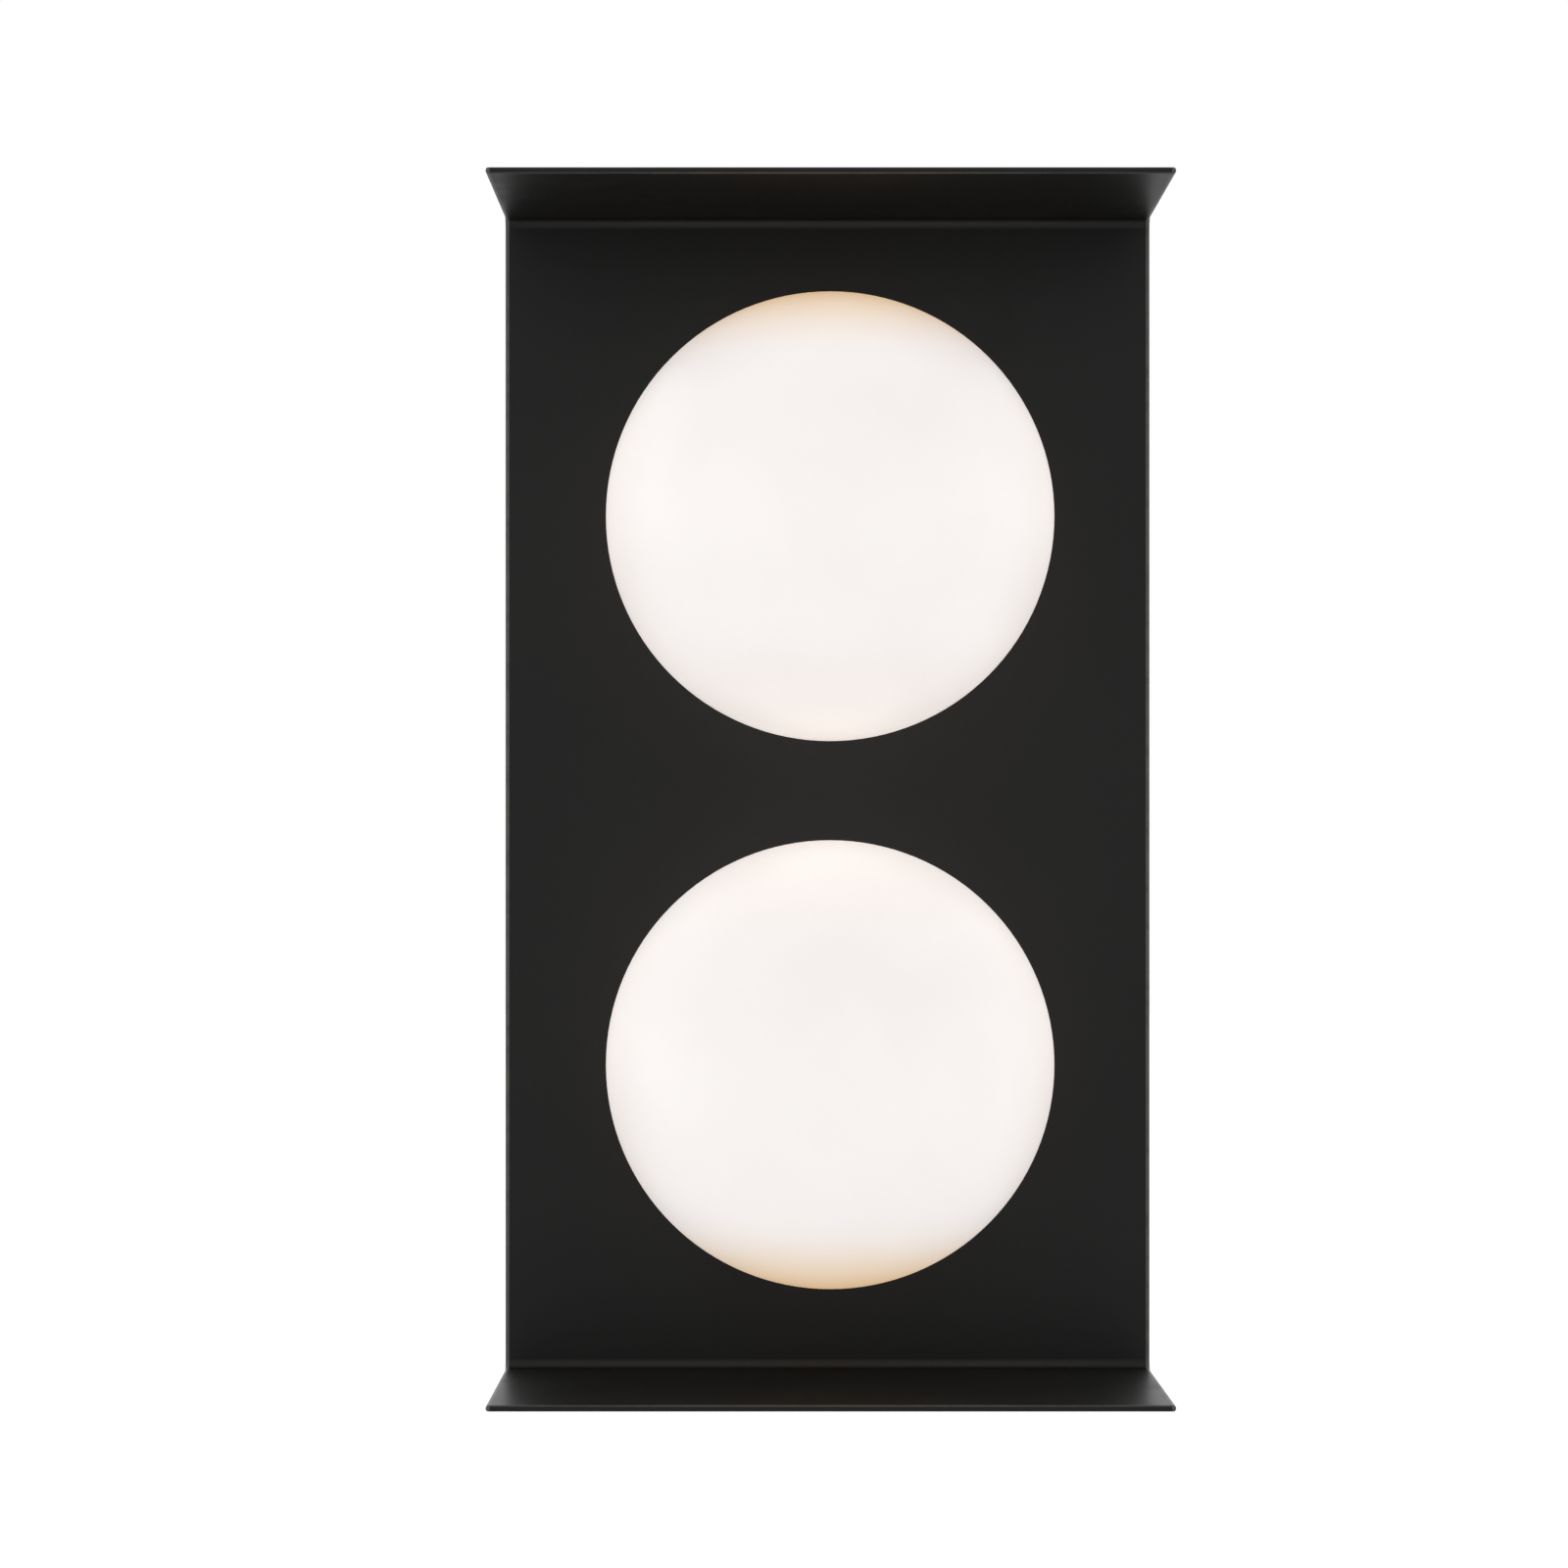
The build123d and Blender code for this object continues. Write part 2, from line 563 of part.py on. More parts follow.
def lampholder(level):
    """Ceramic two-pin lampholder body."""
    half = HOLDER_WIDTH / 2
    body = block(-half, half, HOLDER_BACK, HOLDER_FRONT, -HOLDER_HEIGHT / 2, HOLDER_HEIGHT / 2)
    body = fillet(body.edges().filter_by(Axis.Y), 2.5)
    for end in (0, -1):
        body = chamfer(body.faces().sort_by(Axis.Y)[end].edges(), 0.8)
    for side in (-1, 1):
        x = side * PIN_OFFSET
        body -= block(x - 2.0, x + 2.0, HOLDER_FRONT - 11, HOLDER_FRONT + CUT, -1.2, 1.2)
        body -= rod(LEAD_RADIUS + RUN, HOLDER_BACK - CUT, LEAD_END + 0.1, side * LEAD_OFFSET)
        body -= rod_x(1.3, side * (half - 3), side * (half + 1), HOLDER_SCREW_OUT, 0)
    return Pos(0, 0, level) * body


def holder_contacts(level):
    """Sprung contact leaves each side of the two pins."""
    made = []
    for side in (-1, 1):
        for face in (-1, 1):
            x, z = side * PIN_OFFSET, face * 0.72
            leaf = block(x - 1.7, x + 1.7, HOLDER_FRONT - 10.8, HOLDER_FRONT - 1.5, z - 0.15, z + 0.15)
            made.append(Pos(0, 0, level) * leaf)
    return made


def holder_screws(level):
    """Pan-head screws through the strap's legs into the lampholder."""
    made = []
    seat = HOLDER_WIDTH / 2 + STRAP
    for side in (-1, 1):
        head = rod_x(2.6, side * seat, side * (seat + 1.8), HOLDER_SCREW_OUT, 0)
        rim = head.faces().sort_by(Axis.X)[-1 if side > 0 else 0].edges()
        head = fillet(rim, 0.8)
        slot = sorted((side * (seat + 1.0), side * (seat + 3)))
        head -= block(*slot, HOLDER_SCREW_OUT - 4, HOLDER_SCREW_OUT + 4, -0.35, 0.35)
        shank = rod_x(1.25, side * (seat - 4.0), side * seat, HOLDER_SCREW_OUT, 0)
        made.append(Pos(0, 0, level) * (head + shank))
    return made


# ---- lamp, one set for each globe ---------------------------------------------------
def lamp_pins(level):
    """Two hairpin contacts."""
    made = []
    for side in (-1, 1):
        x = side * PIN_OFFSET
        tip = LAMP_BACK - 7.5
        outline = [(x - 0.8, -LAMP_BACK - 3), (x - 0.8, -tip), (x + 0.8, -tip), (x + 0.8, -LAMP_BACK - 3)]
        path = Wire(FilletPolyline(*outline, radius=0.75).edges())
        pin = sweep(Plane(origin=path @ 0, z_dir=path % 0) * Circle(0.4), path=path)
        made.append(Pos(0, 0, level) * pin)
    return made


def lamp_base(level):
    """White moulded foot of the lamp, with the pins' holes and a register for the cover."""
    foot = rod(6.6, LAMP_BACK, LAMP_BACK + 4) + rod(LAMP_RADIUS, LAMP_BACK + 4, LAMP_BASE_FRONT)
    foot = fillet(foot.edges().group_by(Axis.Y)[-1].filter_by(GeomType.CIRCLE), 0.6)
    foot += rod(LAMP_RADIUS - 1.2, LAMP_BASE_FRONT, LAMP_BASE_FRONT + 2)
    foot -= block(-4.2, 4.2, LAMP_BASE_FRONT - 1, LAMP_BASE_FRONT + 3, -0.85, 0.85)
    for x in (-PIN_OFFSET - 0.8, -PIN_OFFSET + 0.8, PIN_OFFSET - 0.8, PIN_OFFSET + 0.8):
        foot -= rod(0.4 + RUN, LAMP_BACK - 1, LAMP_BACK + 3.1, x)
    return Pos(0, 0, level) * foot


def lamp_board(level):
    """Aluminium light board that stands in the foot."""
    board = block(-4.0, 4.0, LAMP_BASE_FRONT - 0.8, LAMP_TIP - 6, -BOARD_FACE, BOARD_FACE)
    return Pos(0, 0, level) * board


def lamp_emitters(level):
    """Small surface-mounted emitters, two columns on each face of the board."""
    made = []
    rows = 6
    pitch = 4.0
    tall = 0.6
    for i in range(rows):
        out = LAMP_BASE_FRONT + 4.5 + i * pitch
        for x in (-1.9, 1.9):
            for side in (-1, 1):
                z = level + side * (BOARD_FACE + tall / 2)
                made.append(Pos(x, -out, z) * Box(EMITTER, EMITTER, tall))
    return made


def lamp_cover(level):
    """Frosted cover of the lamp: a thin tube with a domed end."""
    wall = 1.0
    shoulder = LAMP_TIP - LAMP_RADIUS
    outer = rod(LAMP_RADIUS, LAMP_BASE_FRONT, shoulder) + Pos(0, -shoulder, 0) * Sphere(LAMP_RADIUS)
    inner_radius = LAMP_RADIUS - wall
    inner = rod(inner_radius, LAMP_BASE_FRONT - 1, shoulder) + Pos(0, -shoulder, 0) * Sphere(inner_radius)
    return Pos(0, 0, level) * (outer - inner)


def main():
    os.makedirs("parts", exist_ok=True)
    save("channel_frame", channel_frame())
    save("wiring_pan", wiring_pan())
    save("weld_studs", *weld_studs())
    save("pan_nuts", *pan_nuts())
    save("wall_plate", wall_plate())
    save("cable_grommet", cable_grommet())
    save("plate_earth_screw", *plate_earth_screw())
    for name, side in (("left", -1), ("right", 1)):
        save(f"thumb_screw_{name}", thumb_screw(side))
        save(f"thumb_washer_{name}", thumb_washer(side))
    save("terminal_block", terminal_block())
    save("terminal_inserts", *terminal_inserts())
    save("terminal_screws", *terminal_screws())
    save("terminal_block_screw", block_screw())
    save("earth_stud", earth_stud())
    save("earth_nut", earth_nut())
    save("earth_ring_terminal", *earth_ring_terminal())
    save("live_leads", *pole_leads(-1))
    save("neutral_leads", *pole_leads(1))
    save("earth_lead", earth_lead())
    for place, level in LEVELS.items():
        save(f"gallery_{place}", gallery(level))
        save(f"gallery_springs_{place}", *gallery_springs(level))
        save(f"seal_ring_{place}", seal_ring(level))
        save(f"globe_{place}", globe(level))
        save(f"nipple_{place}", nipple(level))
        save(f"nipple_nuts_{place}", *nipple_nuts(level))
        save(f"nipple_bush_{place}", nipple_bush(level))
        save(f"holder_bracket_{place}", holder_bracket(level))
        save(f"lampholder_{place}", lampholder(level))
        save(f"holder_contacts_{place}", *holder_contacts(level))
        save(f"holder_screws_{place}", *holder_screws(level))
        save(f"lamp_pins_{place}", *lamp_pins(level))
        save(f"lamp_base_{place}", lamp_base(level))
        save(f"lamp_board_{place}", lamp_board(level))
        save(f"lamp_emitters_{place}", *lamp_emitters(level))
        save(f"lamp_cover_{place}", lamp_cover(level))


main()
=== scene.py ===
"""The looks of the two-globe wall light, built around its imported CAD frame.

The row frame, in metres: origin on the wall, +Z up, +X to the right as seen from the
room, and the room towards -Y. "Out" is the distance from the wall, so y = -out.
"""

import json
from math import atan2, ceil, cos, pi, radians, sin, sqrt, tan

import bmesh
import bpy
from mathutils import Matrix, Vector

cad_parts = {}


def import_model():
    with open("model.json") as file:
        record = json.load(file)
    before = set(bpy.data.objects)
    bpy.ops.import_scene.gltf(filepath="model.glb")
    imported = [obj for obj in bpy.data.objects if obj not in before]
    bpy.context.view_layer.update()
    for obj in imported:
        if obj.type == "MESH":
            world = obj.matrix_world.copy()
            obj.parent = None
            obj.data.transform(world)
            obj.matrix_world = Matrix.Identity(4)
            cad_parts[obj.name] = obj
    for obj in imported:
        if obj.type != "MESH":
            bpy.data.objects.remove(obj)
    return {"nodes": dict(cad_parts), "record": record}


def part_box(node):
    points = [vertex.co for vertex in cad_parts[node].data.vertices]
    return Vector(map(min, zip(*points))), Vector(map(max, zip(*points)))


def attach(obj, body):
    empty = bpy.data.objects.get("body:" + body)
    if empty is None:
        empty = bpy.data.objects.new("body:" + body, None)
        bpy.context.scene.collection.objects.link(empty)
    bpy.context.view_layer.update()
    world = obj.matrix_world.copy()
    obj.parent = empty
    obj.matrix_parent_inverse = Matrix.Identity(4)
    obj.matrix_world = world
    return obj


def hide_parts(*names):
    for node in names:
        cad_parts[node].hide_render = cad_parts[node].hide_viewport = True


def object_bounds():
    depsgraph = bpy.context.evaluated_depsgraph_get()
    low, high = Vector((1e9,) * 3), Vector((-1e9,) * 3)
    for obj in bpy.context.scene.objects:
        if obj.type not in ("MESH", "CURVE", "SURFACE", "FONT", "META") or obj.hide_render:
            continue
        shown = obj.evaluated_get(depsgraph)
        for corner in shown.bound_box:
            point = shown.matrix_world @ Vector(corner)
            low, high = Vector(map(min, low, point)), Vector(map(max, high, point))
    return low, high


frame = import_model()
nodes = frame["nodes"]
cad_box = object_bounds()

MM = 0.001
LEVELS = ("upper", "lower")

# ---- sizes of what is built here, in metres -------------------------------------------
GLASS = 3.0 * MM
NECK_ROOT = 2.5 * MM  # the fillet between neck and globe
NECK_RIM = 1.2 * MM
SPIGOT = 26.5 * MM  # outer radius of the gallery's collar
SPIGOT_WALL = 1.5 * MM
DISC = 2.0 * MM  # the gallery's base
GALLERY_BORE = 5.1 * MM
NIPPLE_BORE = 3.6 * MM
GROMMET_BORE = 5.0 * MM
STUD_RADIUS = 2.0 * MM
SHANK_RADIUS = 2.0 * MM  # of a thumb screw
COVER_WALL = 1.0 * MM  # of a lamp's cover
M10_PITCH = 1.0 * MM
M4_PITCH = 0.7 * MM
THREAD_DEPTH = 0.6  # as a share of the pitch


# ---- places from the frame ------------------------------------------------------------
def out_range(node):
    low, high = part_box(node)
    return -high.y, -low.y


def half_width(node):
    low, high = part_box(node)
    return (high.x - low.x) / 2


def middle_height(node):
    low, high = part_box(node)
    return (low.z + high.z) / 2


# ---- turned meshes --------------------------------------------------------------------
def around_y(x, z):
    """Places a turned point on an axis that points out of the wall."""
    def place(radius, angle, out):
        return Vector((x + radius * cos(angle), -out, z + radius * sin(angle)))
    return place


def around_x(side, y, z):
    """Places a turned point on an axis that points to the light's left or right side."""
    def place(radius, angle, along):
        return Vector((side * along, y + radius * cos(angle), z + radius * sin(angle)))
    return place


def turn_into(shape, place, profile, segments, radius_at=None):
    """Adds a turned solid to a bmesh. Its profile runs from axis to axis, or closes on itself."""
    rings = []
    for radius, along in profile:
        if radius == 0:
            rings.append([shape.verts.new(place(0, 0, along))])
            continue
        ring = []
        for i in range(segments):
            angle = 2 * pi * i / segments
            r = radius_at(radius, angle, along) if radius_at else radius
            ring.append(shape.verts.new(place(r, angle, along)))
        rings.append(ring)
    pairs = list(zip(rings, rings[1:]))
    if len(rings[0]) > 1:
        pairs.append((rings[-1], rings[0]))
    for a, b in pairs:
        for i in range(segments):
            j = (i + 1) % segments
            if len(a) == 1:
                shape.faces.new((a[0], b[j], b[i]))
            elif len(b) == 1:
                shape.faces.new((a[i], a[j], b[0]))
            else:
                shape.faces.new((a[i], a[j], b[j], b[i]))


def finish_mesh(name, shape, sharp=35.0):
    """Makes the object of a bmesh: outward normals, smooth faces, sharp true edges."""
    bmesh.ops.recalc_face_normals(shape, faces=shape.faces)
    mesh = bpy.data.meshes.new(name)
    shape.to_mesh(mesh)
    shape.free()
    for face in mesh.polygons:
        face.use_smooth = True
    mesh.set_sharp_from_angle(angle=radians(sharp))
    obj = bpy.data.objects.new(name, mesh)
    bpy.context.scene.collection.objects.link(obj)
    return obj


def turned(name, place, profile, segments, radius_at=None, sharp=35.0):
    shape = bmesh.new()
    turn_into(shape, place, profile, segments, radius_at)
    return finish_mesh(name, shape, sharp)


def arc(centre, radius, start, end, steps):
    """Points (radius, out) on an arc. Angles are measured from the radial direction."""
    turns = [start + (end - start) * i / steps for i in range(steps + 1)]
    return [(centre[0] + radius * cos(t), centre[1] + radius * sin(t)) for t in turns]


def rounded(corners, steps=4):
    """A closed outline from (radius, out, rounding) corners."""
    points = []
    for i, (r, out, rounding) in enumerate(corners):
        here = Vector((r, out))
        before = Vector(corners[i - 1][:2]) - here
        after = Vector(corners[(i + 1) % len(corners)][:2]) - here
        if rounding == 0:
            points.append((r, out))
            continue
        half = before.angle(after) / 2
        middle = here + (before.normalized() + after.normalized()).normalized() * (rounding / sin(half))
        first = here + before.normalized() * (rounding / tan(half)) - middle
        last = here + after.normalized() * (rounding / tan(half)) - middle
        start = atan2(first.y, first.x)
        sweep = (atan2(last.y, last.x) - start + pi) % (2 * pi) - pi
        points += arc(middle, rounding, start, start + sweep, steps)
    return points


def thread(pitch, near, far):
    """The radius of a thread of that pitch, which runs out in a chamfer at its open ends."""
    depth = THREAD_DEPTH * pitch

    def radius_at(radius, angle, along):
        if not near <= along <= far:
            return radius
        phase = (along / pitch - angle / (2 * pi)) % 1.0
        crest = min(1.0, 1.2 * (1.0 - abs(2.0 * phase - 1.0)))
        run_out = max(0.0, depth - (along - near))
        return radius - max(depth * (1.0 - crest), run_out)
    return radius_at


def steps_along(start, end, step):
    """Even stations from start to end, about one step apart."""
    count = max(1, ceil(abs(end - start) / step))
    return [start + (end - start) * i / count for i in range(count + 1)]


def soften(obj):
    """Keeps broad faces flat beside their small roundings."""
    modifier = obj.modifiers.new("weighted", "WEIGHTED_NORMAL")
    modifier.keep_sharp = True
    return obj


def cut_away(obj, low, high):
    """Cuts a box out of an object and keeps the result as its mesh."""
    shape = bmesh.new()
    bmesh.ops.create_cube(shape, size=1.0)
    for vert in shape.verts:
        vert.co = Vector(lo + (hi - lo) * (c + 0.5) for lo, hi, c in zip(low, high, vert.co))
    cutter = finish_mesh("cutter", shape)
    modifier = obj.modifiers.new("cut", "BOOLEAN")
    modifier.operation = "DIFFERENCE"
    modifier.solver = "EXACT"
    modifier.object = cutter
    bpy.context.view_layer.update()
    graph = bpy.context.evaluated_depsgraph_get()
    whole = obj.data
    obj.data = bpy.data.meshes.new_from_object(obj.evaluated_get(graph))
    obj.modifiers.clear()
    bpy.data.meshes.remove(whole)
    bpy.data.objects.remove(cutter)
    obj.data.set_sharp_from_angle(angle=radians(35.0))
    return obj


# ---- materials ------------------------------------------------------------------------
class Finish:
    """One material: a Principled shader and the pattern nodes that feed it."""

    def __init__(self, name, values):
        self.material = bpy.data.materials.new(name)
        self.material.use_nodes = True
        self.tree = self.material.node_tree
        self.shader = self.tree.nodes["Principled BSDF"]
        coordinates = self.tree.nodes.new("ShaderNodeTexCoord")
        self.place = coordinates.outputs["Object"]
        self.normal = None
        for socket, value in values.items():
            self.shader.inputs[socket].default_value = value

    def plug(self, source, socket):
        """Links an output to a socket, or sets a plain value on it."""
        if isinstance(source, bpy.types.NodeSocket):
            self.tree.links.new(source, socket)
        else:
            socket.default_value = source

    def noise(self, scale, detail=2.0, roughness=0.5, stretch=(1, 1, 1), distortion=0.0):
        """Noise from 0 to 1, in cycles per metre."""
        texture = self.tree.nodes.new("ShaderNodeTexNoise")
        texture.inputs["Scale"].default_value = scale
        texture.inputs["Detail"].default_value = detail
        texture.inputs["Roughness"].default_value = roughness
        texture.inputs["Distortion"].default_value = distortion
        self.plug(self.stretched(stretch), texture.inputs["Vector"])
        return texture.outputs["Fac"]

    def cells(self, scale):
        """The distance to the nearest of scattered points, in cells per metre."""
        texture = self.tree.nodes.new("ShaderNodeTexVoronoi")
        texture.inputs["Scale"].default_value = scale
        self.plug(self.place, texture.inputs["Vector"])
        return texture.outputs["Distance"]

    def stretched(self, stretch):
        """The place on the object, scaled along each axis."""
        if stretch == (1, 1, 1):
            return self.place
        mapping = self.tree.nodes.new("ShaderNodeMapping")
        mapping.inputs["Scale"].default_value = stretch
        self.plug(self.place, mapping.inputs["Vector"])
        return mapping.outputs["Vector"]

    def axis(self, name, source=None):
        """One component of the place on the object, or of another vector."""
        split = self.tree.nodes.new("ShaderNodeSeparateXYZ")
        self.plug(source or self.place, split.inputs["Vector"])
        return split.outputs[name]

    def math(self, operation, a, b=0.0):
        made = self.tree.nodes.new("ShaderNodeMath")
        made.operation = operation
        for value, socket in zip((a, b), made.inputs):
            self.plug(value, socket)
        return made.outputs["Value"]

    def span(self, value, low, high, to_low=0.0, to_high=1.0):
        """Maps low..high smoothly onto to_low..to_high, clamped."""
        made = self.tree.nodes.new("ShaderNodeMapRange")
        made.interpolation_type = "SMOOTHSTEP"
        self.plug(value, made.inputs["Value"])
        made.inputs["From Min"].default_value = low
        made.inputs["From Max"].default_value = high
        made.inputs["To Min"].default_value = to_low
        made.inputs["To Max"].default_value = to_high
        return made.outputs["Result"]

    def blend(self, factor, first, second):
        """A colour between two, as the factor goes from 0 to 1."""
        made = self.tree.nodes.new("ShaderNodeMix")
        made.data_type = "RGBA"
        self.plug(factor, made.inputs["Factor"])
        sockets = [s for s in made.inputs if s.type == "RGBA"]
        for value, socket in zip((first, second), sockets):
            self.plug(value if isinstance(value, bpy.types.NodeSocket) else (*value, 1.0), socket)
        return next(s for s in made.outputs if s.type == "RGBA")

    def color(self, source):
        self.plug(source, self.shader.inputs["Base Color"])

    def rough(self, source):
        self.plug(source, self.shader.inputs["Roughness"])

    def bump(self, height, distance):
        """Adds a relief of that height in metres to those before it."""
        made = self.tree.nodes.new("ShaderNodeBump")
        made.inputs["Strength"].default_value = 1.0
        made.inputs["Distance"].default_value = distance
        self.plug(height, made.inputs["Height"])
        if self.normal:
            self.plug(self.normal, made.inputs["Normal"])
        self.normal = made.outputs["Normal"]
        self.plug(self.normal, self.shader.inputs["Normal"])

    def edges(self, radius, low=0.02, high=0.25):
        """1 on the sharp outer edges, 0 elsewhere, from the bevelled normal."""
        bevel = self.tree.nodes.new("ShaderNodeBevel")
        bevel.samples = 4
        bevel.inputs["Radius"].default_value = radius
        flat = self.tree.nodes.new("ShaderNodeNewGeometry")
        dot = self.tree.nodes.new("ShaderNodeVectorMath")
        dot.operation = "DOT_PRODUCT"
        self.plug(bevel.outputs["Normal"], dot.inputs[0])
        self.plug(flat.outputs["Normal"], dot.inputs[1])
        return self.span(self.math("SUBTRACT", 1.0, dot.outputs["Value"]), low, high)


def powder_coat(name, color, roughness, peel=11e-6, rim=None):
    """Fine satin powder coat: orange peel, fine grain, faint handling marks and sparse pale flecks of
    painted sparkle.

    Where rim gives 1, the coat is a paler tone: a painted highlight along an edge.
    """
    dark = tuple(0.86 * c for c in color)
    light = tuple(1.22 * c for c in color)
    coat = Finish(name, {"Specular IOR Level": 0.42})
    cloud = coat.noise(14, 4)
    grain = coat.noise(2600, 2)
    mixed = coat.math("ADD", coat.math("MULTIPLY", cloud, 0.6), coat.math("MULTIPLY", grain, 0.4))
    base = coat.blend(coat.span(mixed, 0.35, 0.65), dark, light)
    # Sparse pale warm flecks in the coat's colour: painted sparkle, glints laid into the base colour.
    sparkle_spot = coat.span(coat.cells(1500), 0.0, 0.16, 1.0, 0.0)
    rare = coat.span(coat.noise(700, 1), 0.6, 0.68)
    painted_sparkle = coat.math("MULTIPLY", sparkle_spot, rare)
    base = coat.blend(coat.math("MULTIPLY", painted_sparkle, 0.5), base, (0.10, 0.092, 0.08))
    # The rim mask lays a pale tone on the edges: a painted highlight of their rounding, not a change in
    # the coat.
    coat.color(coat.blend(rim(coat), base, (0.14, 0.132, 0.124)) if rim else base)
    rub = coat.span(coat.noise(30, 5, 0.6, (1, 1, 0.25)), 0.45, 0.7)
    level = coat.math("ADD", roughness - 0.05, coat.math("MULTIPLY", rub, 0.07))
    coat.rough(coat.math("ADD", level, coat.math("MULTIPLY", grain, 0.06)))
    coat.bump(coat.noise(1050, 2, 0.45), peel)
    coat.bump(coat.noise(3800, 1), 0.25 * peel)
    return coat.material


def painted_edge_highlight(coat):
    """A painted highlight: 1 on the channel's side edges, less on the inner corners of its front edges.
    """
    low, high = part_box("channel_frame")
    patchy = coat.span(coat.noise(240, 3), 0.2, 0.6, 0.6, 1.0)
    across = coat.math("ABSOLUTE", coat.axis("X"))
    side = coat.span(across, high.x - 1.5 * MM, high.x - 1.0 * MM)
    front = coat.span(coat.axis("Y"), low.y + 0.8 * MM, low.y + 1.2 * MM, 1.0, 0.0)
    rise = coat.math("ABSOLUTE", coat.axis("Z"))
    corner = coat.span(rise, high.z - 1.8 * MM, high.z - 1.5 * MM, 0.5, 0.0)
    inner = coat.math("MULTIPLY", front, corner)
    return coat.math("MULTIPLY", coat.math("MAXIMUM", side, inner), patchy)


def opal_glass():
    """Lit opal glass, satin white. Its own glow carries painted shade and light: warm and dim towards
    its own flange, dimmer on the upper half, at the sides and towards the other globe, warmer on the
    wall side.
    """
    glass = Finish("opal_glass", {"Specular IOR Level": 0.35, "Emission Strength": 1.0})
    radius = half_width("globe_upper")
    centre_out = out_range("globe_upper")[1] - radius
    height = middle_height("globe_upper")
    share = 1 / radius
    across = glass.math("MULTIPLY", glass.math("ABSOLUTE", glass.axis("X")), share)
    to_room = glass.math("MULTIPLY", glass.math("ADD", glass.axis("Y"), centre_out), -share)
    rise = glass.math("SUBTRACT", glass.math("ABSOLUTE", glass.axis("Z")), height)
    to_flange = glass.math("MULTIPLY", rise, share)
    upward = glass.math("MULTIPLY", to_flange, glass.math("SIGN", glass.axis("Z")))

    # The globe glows as a lamp, and its emission colour also paints shade and light: dimmer towards the
    # top, warm and dim towards its own flange, dimmer at the sides and towards the other globe, warmer
    # and a little brighter on the wall side.
    limb = glass.span(to_room, 0.2, 0.75, 1.0, 0.0)
    side = glass.math("MULTIPLY", limb, glass.span(across, 0.5, 1.0))
    glow = glass.blend(glass.span(upward, -0.15, 0.6), (0.545, 0.51, 0.505), (0.48, 0.44, 0.435))
    glow = glass.blend(glass.span(to_flange, 0.61, 1.06), glow, (0.54, 0.325, 0.11))
    glow = glass.blend(side, glow, (0.43, 0.375, 0.35))
    glow = glass.blend(glass.span(to_flange, -0.95, -0.45, 1.0, 0.0), glow, (0.45, 0.40, 0.375))
    glow = glass.blend(glass.span(to_room, -0.45, 0.1, 1.0, 0.0), glow, (0.56, 0.48, 0.42))
    glass.plug(glow, glass.shader.inputs["Emission Color"])

    cloud = glass.noise(40, 3)
    glass.color(glass.blend(glass.span(cloud, 0.35, 0.65), (0.79, 0.785, 0.77), (0.82, 0.815, 0.80)))
    glass.rough(glass.math("ADD", 0.36, glass.math("MULTIPLY", glass.noise(900, 2), 0.10)))
    glass.bump(glass.noise(22, 2), 60e-6)
    glass.bump(glass.noise(2200, 2), 1.2e-6)
    return glass.material


def metal(name, color, roughness, grain=(1, 1, 1), mottle=0.12, scratch=1.0e-6):
    """Bare or plated metal: mottled tone, fine drawn grain, rubbed spots and small scratches."""
    dull = tuple((1 - mottle) * c for c in color)
    bright = tuple(min(1.0, (1 + 0.5 * mottle) * c) for c in color)
    made = Finish(name, {"Metallic": 1.0})
    patch = made.noise(160, 4, 0.6)
    spangle = made.cells(420)
    tone = made.math("ADD", made.math("MULTIPLY", patch, 0.75), made.math("MULTIPLY", spangle, 0.25))
    made.color(made.blend(made.span(tone, 0.3, 0.65), dull, bright))
    drawn = made.noise(1800, 3, 0.6, grain)
    uneven = made.math("MULTIPLY", made.math("ADD", patch, drawn), 0.11)
    made.rough(made.math("ADD", roughness - 0.06, uneven))
    made.bump(drawn, scratch)
    made.bump(made.noise(320, 3), 2.0e-6)
    return made.material


def plastic(name, color, roughness, soft=0.0, coat=0.0, grain=3.0e-6):
    """Moulded plastic or silicone: faint flow marks, fine texture, a little dust."""
    made = Finish(name, {"Coat Weight": coat, "Coat Roughness": 0.2})
    if soft:
        made.shader.inputs["Subsurface Weight"].default_value = soft
        made.shader.inputs["Subsurface Radius"].default_value = (1.0, 0.8, 0.6)
        made.shader.inputs["Subsurface Scale"].default_value = 1.2 * MM
    flow = made.noise(90, 4, 0.5, (1, 1, 0.4), 0.6)
    base = made.blend(made.span(flow, 0.3, 0.7), tuple(0.93 * c for c in color), color)
    dust = made.span(made.noise(1500, 2), 0.62, 0.75, 0.0, 0.25)
    made.color(made.blend(dust, base, tuple(0.8 * c + 0.06 for c in color)))
    made.rough(made.math("ADD", roughness - 0.04, made.math("MULTIPLY", made.noise(600, 3), 0.1)))
    made.bump(made.noise(1400, 2), grain)
    made.bump(flow, 10e-6)
    return made.material


def rubber(name, color):
    """Matt black rubber with a pale bloom in patches."""
    made = Finish(name, {"Specular IOR Level": 0.3})
    bloom = made.span(made.noise(260, 4, 0.6), 0.5, 0.8)
    made.color(made.blend(bloom, color, tuple(c + 0.025 for c in color)))
    made.rough(made.math("ADD", 0.68, made.math("MULTIPLY", bloom, 0.15)))
    made.bump(made.noise(1900, 2), 6e-6)
    return made.material


